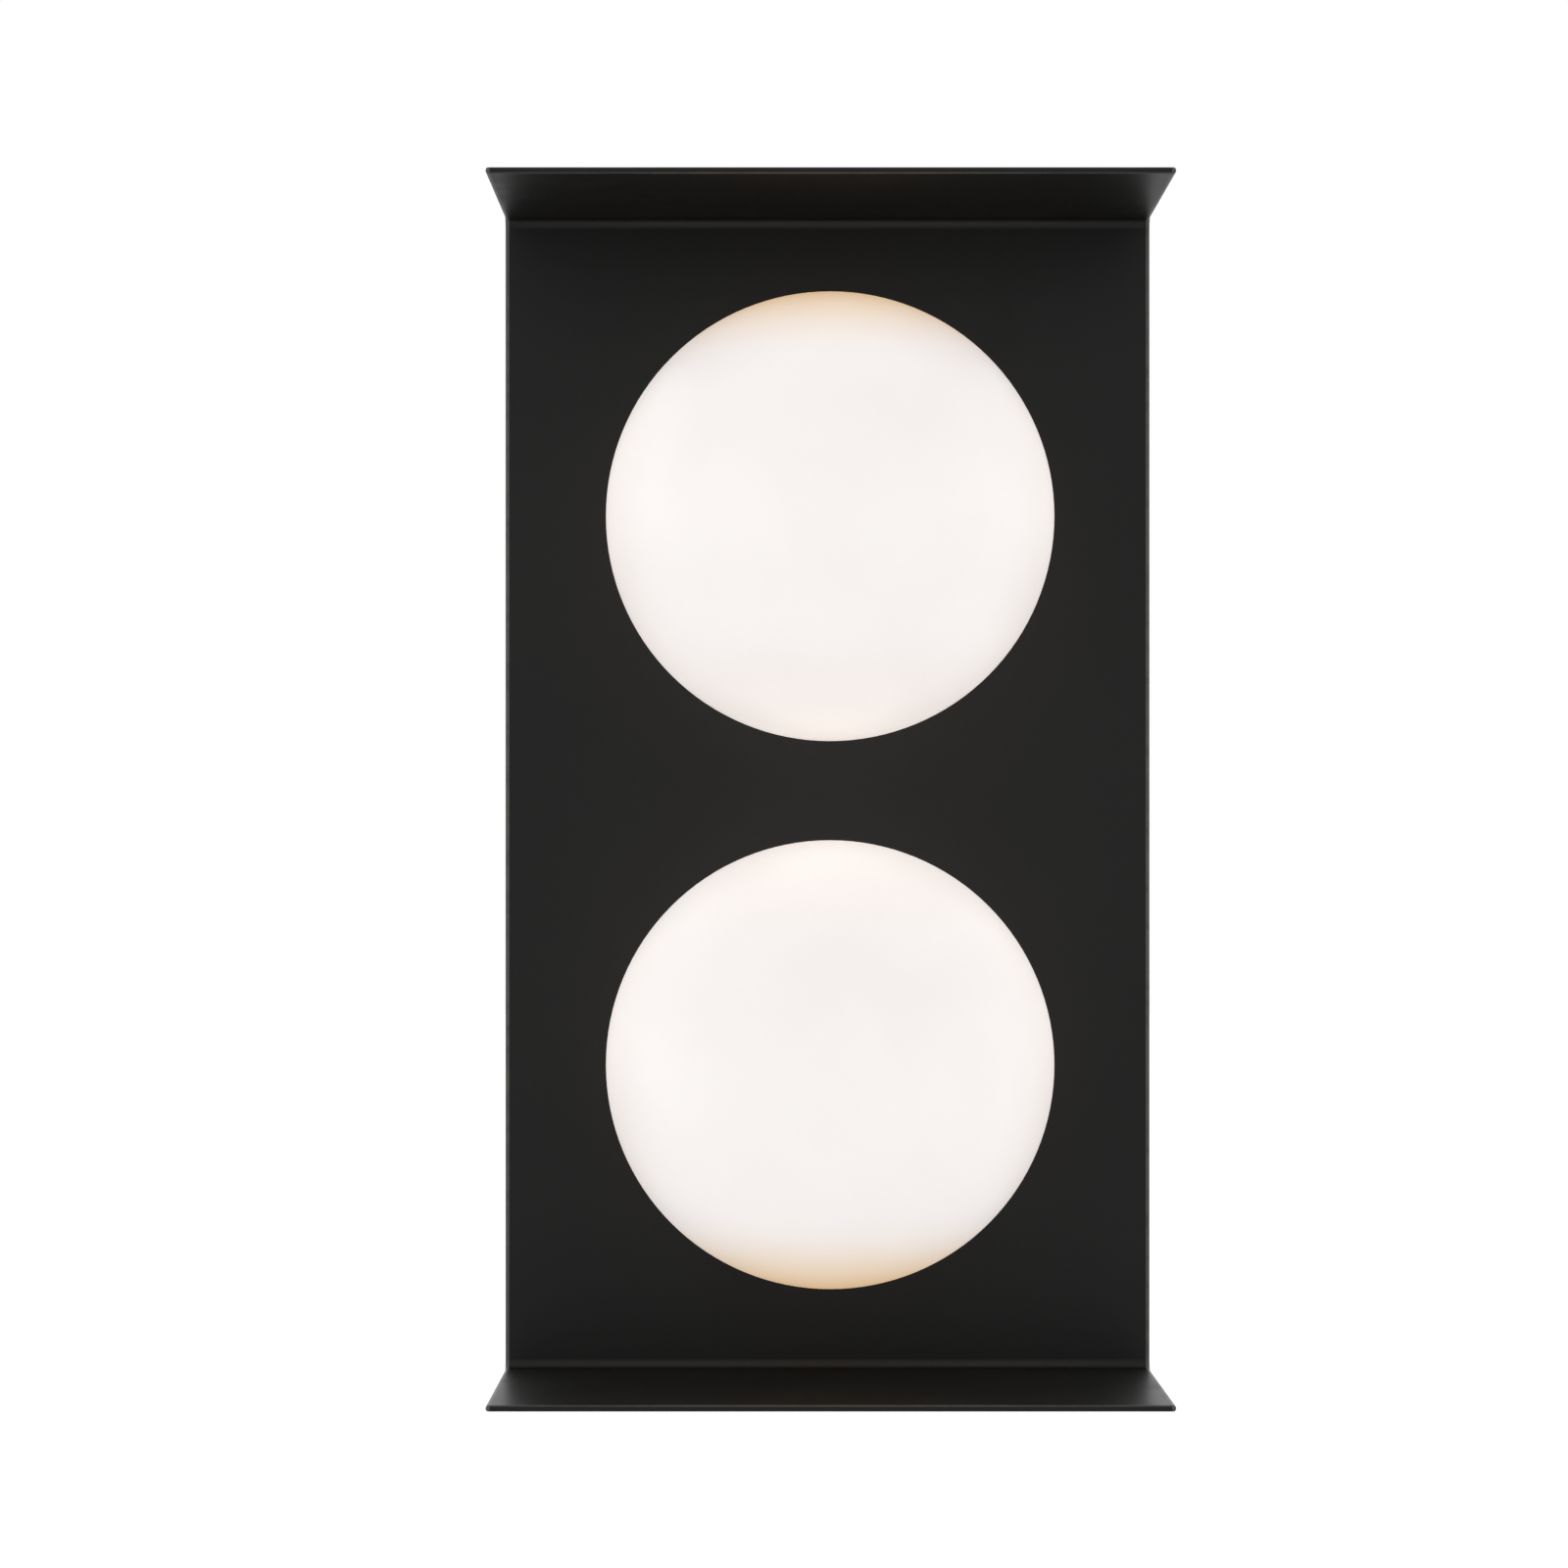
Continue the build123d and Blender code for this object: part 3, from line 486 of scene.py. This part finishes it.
def ceramic():
    """Glazed white ceramic with small dark specks and a slightly wavy glaze."""
    made = Finish("white_ceramic", {"Coat Weight": 0.5, "Coat Roughness": 0.12})
    specks = made.span(made.cells(380), 0.03, 0.07, 0.7, 0.0)
    rare = made.span(made.noise(260, 1), 0.58, 0.62)
    base = made.blend(made.noise(120, 3), (0.80, 0.78, 0.73), (0.88, 0.87, 0.83))
    made.color(made.blend(made.math("MULTIPLY", specks, rare), base, (0.24, 0.17, 0.11)))
    made.rough(made.math("ADD", 0.3, made.math("MULTIPLY", made.noise(500, 2), 0.12)))
    made.bump(made.noise(240, 2), 14e-6)
    return made.material


def worn_black():
    """Black zinc plate, rubbed through to steel on its edges."""
    made = Finish("black_screw", {"Metallic": 1.0})
    broken = made.span(made.noise(1300, 3, 0.7), 0.35, 0.6)
    wear = made.math("MULTIPLY", made.edges(0.12 * MM), broken)
    plate = made.blend(made.noise(500, 3), (0.035, 0.035, 0.038), (0.07, 0.068, 0.066))
    made.color(made.blend(wear, plate, (0.42, 0.41, 0.40)))
    made.rough(made.math("ADD", 0.34, made.math("MULTIPLY", made.noise(900, 2), 0.16)))
    made.bump(made.noise(1500, 2), 2.0e-6)
    return made.material


def earth_silicone():
    """Green lead insulation with a yellow stripe along the side towards the wall."""
    made = Finish("earth_silicone", {"Sheen Weight": 0.15})
    coordinates = made.tree.nodes.new("ShaderNodeTexCoord")
    facing = made.axis("Y", coordinates.outputs["Normal"])
    stripe = made.span(facing, 0.42, 0.5)
    green = made.blend(made.noise(300, 3), (0.05, 0.26, 0.05), (0.07, 0.32, 0.07))
    made.color(made.blend(stripe, green, (0.72, 0.62, 0.06)))
    made.rough(made.math("ADD", 0.48, made.math("MULTIPLY", made.noise(1200, 2), 0.12)))
    made.bump(made.noise(1600, 2), 4e-6)
    return made.material


def frosted_cover():
    """Frosted polycarbonate with a faint even glow."""
    made = Finish("frosted_cover", {"Emission Strength": 0.3})
    base = made.blend(made.noise(200, 3), (0.66, 0.64, 0.58), (0.73, 0.71, 0.66))
    made.color(base)
    made.rough(made.math("ADD", 0.42, made.math("MULTIPLY", made.noise(1500, 2), 0.14)))
    made.bump(made.noise(2400, 2), 3e-6)
    made.plug((1.0, 0.86, 0.66, 1), made.shader.inputs["Emission Color"])
    made.material.cycles.emission_sampling = "NONE"
    return made.material


def emitter():
    """Phosphor under clear resin, with its pale moulded edge."""
    made = Finish("emitter_yellow", {"Coat Weight": 0.8, "Coat Roughness": 0.08})
    made.color(made.blend(made.noise(900, 3), (0.86, 0.62, 0.12), (0.92, 0.74, 0.22)))
    made.rough(made.math("ADD", 0.3, made.math("MULTIPLY", made.noise(1800, 2), 0.1)))
    made.bump(made.noise(1500, 2), 4e-6)
    return made.material


materials = {
    "powder_black": powder_coat("powder_black", (0.0066, 0.0061, 0.0058), 0.38, rim=painted_edge_highlight),
    "gallery_black": powder_coat("gallery_black", (0.020, 0.020, 0.020), 0.40, 5e-6),
    "pan_steel": powder_coat("pan_steel", (0.030, 0.030, 0.031), 0.52, 13e-6),
    "zinc_steel": metal("zinc_steel", (0.64, 0.65, 0.66), 0.32, (1, 1, 0.06)),
    "spring_steel": metal("spring_steel", (0.56, 0.55, 0.53), 0.26, (0.1, 0.1, 1), 0.08),
    "black_screw": worn_black(),
    "opal_glass": opal_glass(),
    "white_ceramic": ceramic(),
    "seal_silicone": plastic("seal_silicone", (0.80, 0.80, 0.78), 0.42, soft=0.35),
    "grommet_rubber": rubber("grommet_rubber", (0.028, 0.028, 0.028)),
    "bush_plastic": plastic("bush_plastic", (0.84, 0.82, 0.76), 0.45, soft=0.2),
    "white_polyamide": plastic("white_polyamide", (0.84, 0.84, 0.81), 0.46, soft=0.1, grain=6e-6),
    "terminal_brass": metal("terminal_brass", (0.80, 0.60, 0.29), 0.28, (0.15, 1, 1)),
    "tinned_copper": metal("tinned_copper", (0.72, 0.70, 0.66), 0.36, (1, 1, 1), 0.2),
    "earth_green": metal("earth_green", (0.05, 0.33, 0.10), 0.30, (1, 1, 1), 0.25),
    "brown_silicone": plastic("brown_silicone", (0.17, 0.07, 0.035), 0.46),
    "blue_silicone": plastic("blue_silicone", (0.03, 0.13, 0.46), 0.46),
    "earth_silicone": earth_silicone(),
    "lamp_white": plastic("lamp_white", (0.86, 0.86, 0.84), 0.30, coat=0.3),
    "board_white": plastic("board_white", (0.82, 0.83, 0.81), 0.28, coat=0.4),
    "emitter_yellow": emitter(),
    "frosted_cover": frosted_cover(),
}
node_slots = {part["node"]: part["material_slot"] for part in frame["record"]["subparts"]}
node_bodies = {
    node: body for body, members in frame["record"]["behaviour"]["bodies"].items() for node in members
}


def stands_for(obj, node):
    """A piece that replaces one CAD node: same body, same material slot."""
    slot = node_slots[node]
    obj.data.materials.clear()
    obj.data.materials.append(materials[slot])
    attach(obj, node_bodies[node])
    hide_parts(node)
    return obj


# ---- pieces ---------------------------------------------------------------------------
def globe(level):
    """A blown shell of even thickness with a straight neck and a fire-rounded rim."""
    node = f"globe_{level}"
    radius = half_width(node)
    rim, front = out_range(node)
    centre = front - radius
    neck = half_width(f"seal_ring_{level}") - NECK_RIM
    sphere_steps, fillet_steps = 44, 6

    def shell(ball, tube):
        """From the ball's front pole back to the neck's fillet."""
        reach = sqrt((ball + NECK_ROOT) ** 2 - (tube + NECK_ROOT) ** 2)
        root = (tube + NECK_ROOT, centre - reach)
        lean = atan2(reach, tube + NECK_ROOT)
        ball_arc = arc((0, centre), ball, pi / 2, -lean, sphere_steps)
        ball_arc[0] = (0, centre + ball)
        return ball_arc + arc(root, NECK_ROOT, pi - lean, pi, fillet_steps)

    outer = shell(radius, neck)
    inner = shell(radius - GLASS, neck - GLASS)
    rim_outer = arc((neck - NECK_RIM, rim + NECK_RIM), NECK_RIM, 0, -pi / 2, 5)
    rim_inner = arc((neck - GLASS + NECK_RIM, rim + NECK_RIM), NECK_RIM, -pi / 2, -pi, 5)
    profile = outer + rim_outer + rim_inner + inner[::-1]
    place = around_y(0, middle_height(node))
    return stands_for(turned(f"{node}_shell", place, profile, 128), node)


def gallery(level):
    """The turned cup: a disc with a thin spigot that the globe's neck goes over."""
    node = f"gallery_{level}"
    back, end = out_range(node)
    disc = half_width(node)
    small, fine = 0.4 * MM, 0.2 * MM
    face = back + DISC
    corners = [
        (GALLERY_BORE, back, fine), (disc, back, 0.3 * MM), (disc, face, 0.8 * MM),
        (SPIGOT, face, small), (SPIGOT, end, small),
        (SPIGOT - SPIGOT_WALL, end, small), (SPIGOT - SPIGOT_WALL, face, small),
        (GALLERY_BORE, face, fine),
    ]
    obj = turned(f"{node}_cup", around_y(0, middle_height(node)), rounded(corners, 3), 128)
    return stands_for(soften(obj), node)


def seal_ring(level):
    """Soft ring with rounded lips."""
    node = f"seal_ring_{level}"
    near, far = out_range(node)
    outer = half_width(node)
    inner = outer - 2 * NECK_RIM - GLASS
    lip = 0.7 * MM
    corners = [(inner, near, lip), (outer, near, lip), (outer, far, lip), (inner, far, lip)]
    obj = turned(f"{node}_moulding", around_y(0, middle_height(node)), rounded(corners), 128)
    return stands_for(obj, node)


def nipple(level):
    """Hollow tube with a fine thread along its whole length."""
    node = f"nipple_{level}"
    near, far = out_range(node)
    outer = half_width(node)
    middle = (near + far) / 2
    depth = THREAD_DEPTH * M10_PITCH
    rows = [(outer, out) for out in steps_along(near, far, M10_PITCH / 10)]
    ridge = thread(M10_PITCH, near, far)

    def radius_at(radius, angle, out):
        if radius < outer:
            return radius
        mirrored = middle - abs(out - middle)
        chamfer = max(0.0, depth - (mirrored - near))
        return min(ridge(radius, angle, out), radius - chamfer)

    rows += [(NIPPLE_BORE, far), (NIPPLE_BORE, near)]
    place = around_y(0, middle_height(node))
    return stands_for(turned(f"{node}_tube", place, rows, 72, radius_at, 60), node)


def studs(node, places):
    """Threaded studs pointing back to the wall."""
    near, far = out_range(node)
    shape = bmesh.new()
    rows = [(0, near)]
    rows += [(STUD_RADIUS, out) for out in steps_along(near, far, M4_PITCH / 9)]
    rows += [(0, far)]
    for x, z in places:
        turn_into(shape, around_y(x, z), rows, 36, thread(M4_PITCH, near, far))
    return stands_for(finish_mesh(f"{node}_threaded", shape, 60), node)


def thumb_screw(side, name):
    """Knurled screw: threaded shank, undercut, diamond knurl, slotted end."""
    node = f"thumb_screw_{name}"
    low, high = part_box(node)
    centre = (low + high) / 2
    head = (high.z - low.z) / 2
    tip, end = sorted((abs(low.x), abs(high.x)))
    washer_low, washer_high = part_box(f"thumb_washer_{name}")
    seat = max(abs(washer_low.x), abs(washer_high.x))
    lead_in = 0.45 * MM
    knurl_start, knurl_end = seat + lead_in, end - 0.9 * MM
    teeth = 34
    depth = 0.28 * MM
    step = 0.11 * MM
    ridge = thread(M4_PITCH, tip, seat)

    def radius_at(radius, angle, along):
        if along < seat:
            return ridge(radius, angle, along)
        if radius < head or not knurl_start < along < knurl_end:
            return radius
        rise = (along - knurl_start) / (2 * pi * head)
        cuts = [abs(((angle / (2 * pi) + way * rise) * teeth) % 1.0 - 0.5) * 2 for way in (-1, 1)]
        edge = min(1.0, (along - knurl_start) / (2 * step), (knurl_end - along) / (2 * step))
        return radius - depth * edge * max(cuts) ** 1.5

    rows = [(0, tip)]
    rows += [(SHANK_RADIUS, along) for along in steps_along(tip, seat - 0.01 * MM, M4_PITCH / 9)]
    rows += [(SHANK_RADIUS, seat), (head - lead_in, seat)]
    rows += [(head - 0.15 * MM, seat + 0.12 * MM)]
    rows += [(head, along) for along in steps_along(knurl_start, knurl_end, step)]
    rows += [(head - 0.1 * MM, end - 0.55 * MM), (head - 0.5 * MM, end - 0.12 * MM)]
    rows += [(head - 0.9 * MM, end), (0, end)]
    place = around_x(side, centre.y, centre.z)
    obj = turned(f"{node}_turned", place, rows, 6 * teeth, radius_at, 40)
    slot_y = 0.6 * MM
    slot_out = sorted((side * (end - 1.3 * MM), side * (end + 1.0 * MM)))
    cut_away(obj, (slot_out[0], centre.y - slot_y, centre.z - 2 * head),
             (slot_out[1], centre.y + slot_y, centre.z + 2 * head))
    return stands_for(obj, node)


def grommet():
    """Rubber bush with a flange, and rings on its nose that grip the cable."""
    node = "cable_grommet"
    near, far = out_range(node)
    flange = half_width(node)
    waist, nose = 9.95 * MM, 8.8 * MM
    groove = nose - 0.9 * MM
    sheet, flange_end = near + 2.0 * MM, near + 3.6 * MM
    corners = [
        (GROMMET_BORE, near, 0.4 * MM), (waist, near, 0.3 * MM), (waist, sheet, 0),
        (flange, sheet, 0.4 * MM), (flange, flange_end, 0.7 * MM),
        (nose, flange_end, 0.25 * MM), (nose, flange_end + 0.8 * MM, 0.2 * MM),
        (groove, flange_end + 1.1 * MM, 0.2 * MM), (groove, far - 0.7 * MM, 0.2 * MM),
        (nose - 0.4 * MM, far - 0.4 * MM, 0.15 * MM), (nose - 1.0 * MM, far, 0.15 * MM),
        (GROMMET_BORE, far, 0.6 * MM),
    ]
    obj = turned(f"{node}_moulding", around_y(0, 0), rounded(corners, 3), 96)
    return stands_for(soften(obj), node)


def lamp_cover(level):
    """Thin frosted tube with a domed end."""
    node = f"lamp_cover_{level}"
    near, far = out_range(node)
    radius = half_width(node)
    bore = radius - COVER_WALL
    shoulder = far - radius
    outer = arc((0, shoulder), radius, pi / 2, 0, 14)
    inner = arc((0, shoulder), bore, pi / 2, 0, 14)
    outer[0] = (0, far)
    inner[0] = (0, far - COVER_WALL)
    edge = 0.25 * MM
    rim = [(radius, near + edge), (radius - edge, near), (bore + edge, near), (bore, near + edge)]
    profile = outer + rim + inner[::-1]
    place = around_y(0, middle_height(node))
    return stands_for(turned(f"{node}_tube", place, profile, 64), node)


def weld_studs():
    """One stud at each corner of the box that the four of them fill."""
    low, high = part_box("weld_studs")
    across = (low.x + STUD_RADIUS, high.x - STUD_RADIUS)
    up = (low.z + STUD_RADIUS, high.z - STUD_RADIUS)
    studs("weld_studs", [(x, z) for x in across for z in up])


def earth_stud():
    low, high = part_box("earth_stud")
    studs("earth_stud", [((low.x + high.x) / 2, (low.z + high.z) / 2)])


for level in LEVELS:
    globe(level)
    gallery(level)
    seal_ring(level)
    nipple(level)
    lamp_cover(level)
weld_studs()
earth_stud()
thumb_screw(-1, "left")
thumb_screw(1, "right")
grommet()

for node, obj in nodes.items():
    if not obj.hide_render:
        for slot in obj.material_slots:
            slot.material = materials[node_slots[node]]


# ---- floor, light and camera ------------------------------------------------------------
def floor():
    """A wide pale floor below the light."""
    half = 12.0
    drop = 0.30
    shape = bmesh.new()
    height = cad_box[0].z - drop
    corners = [(-half, -half), (half, -half), (half, half), (-half, half)]
    shape.faces.new([shape.verts.new((x, y, height)) for x, y in corners])
    obj = finish_mesh("floor", shape)
    paper = Finish("pale_floor", {"Roughness": 0.9, "Specular IOR Level": 0.1, "Emission Strength": 1.0})
    paper.color(paper.blend(paper.noise(3, 3), (0.61, 0.61, 0.61), (0.63, 0.63, 0.63)))
    path = paper.tree.nodes.new("ShaderNodeLightPath")
    glow = paper.math("MULTIPLY", path.outputs["Is Camera Ray"], 0.65)
    paper.plug(paper.blend(glow, (0, 0, 0), (1, 1, 1)), paper.shader.inputs["Emission Color"])
    obj.data.materials.append(paper.material)


def world():
    """White surroundings, brighter behind the light than on the room's side."""
    turn = 0.35  # how far each way the change from one side to the other reaches
    room, behind = 0.50, 0.9
    made = bpy.data.worlds.new("studio")
    bpy.context.scene.world = made
    made.use_nodes = True
    tree = made.node_tree
    add = tree.nodes.new
    background = tree.nodes["Background"]
    coordinates = add("ShaderNodeTexCoord")
    split = add("ShaderNodeSeparateXYZ")
    ramp = add("ShaderNodeMapRange")
    path = add("ShaderNodeLightPath")
    either = add("ShaderNodeMath")
    ramp.interpolation_type = "SMOOTHSTEP"
    ramp.inputs["From Min"].default_value = -turn
    ramp.inputs["From Max"].default_value = turn
    ramp.inputs["To Min"].default_value = room
    ramp.inputs["To Max"].default_value = behind
    either.operation = "MAXIMUM"
    link = tree.links.new
    link(coordinates.outputs["Generated"], split.inputs["Vector"])
    link(split.outputs["Y"], ramp.inputs["Value"])
    link(ramp.outputs["Result"], either.inputs[0])
    link(path.outputs["Is Camera Ray"], either.inputs[1])
    link(either.outputs["Value"], background.inputs["Strength"])
    background.inputs["Color"].default_value = (1, 1, 1, 1)


def soft_light(name, place, size, power):
    """A large soft box aimed at the light's middle."""
    lamp = bpy.data.lights.new(name, "AREA")
    lamp.shape = "SQUARE"
    lamp.size = size
    lamp.energy = power
    obj = bpy.data.objects.new(name, lamp)
    obj.location = place
    obj.rotation_euler = (-Vector(place)).to_track_quat("-Z", "Y").to_euler()
    bpy.context.scene.collection.objects.link(obj)


def camera():
    """A long lens straight in front of the light, a little left of its middle and below it."""
    data = bpy.data.cameras.new("camera")
    data.lens = 102.95
    data.sensor_width = 36.0
    data.shift_x = 0.0019
    data.shift_y = 0.0475
    obj = bpy.data.objects.new("camera", data)
    obj.location = (-0.0153, -1.5015, -0.0212)
    obj.rotation_euler = (pi / 2, 0, 0)
    bpy.context.scene.collection.objects.link(obj)
    bpy.context.scene.camera = obj


floor()
world()
soft_light("soft_box", (-1.6, -1.8, 1.0), 1.4, 1.6)
camera()
bpy.context.scene.view_settings.view_transform = "Standard"
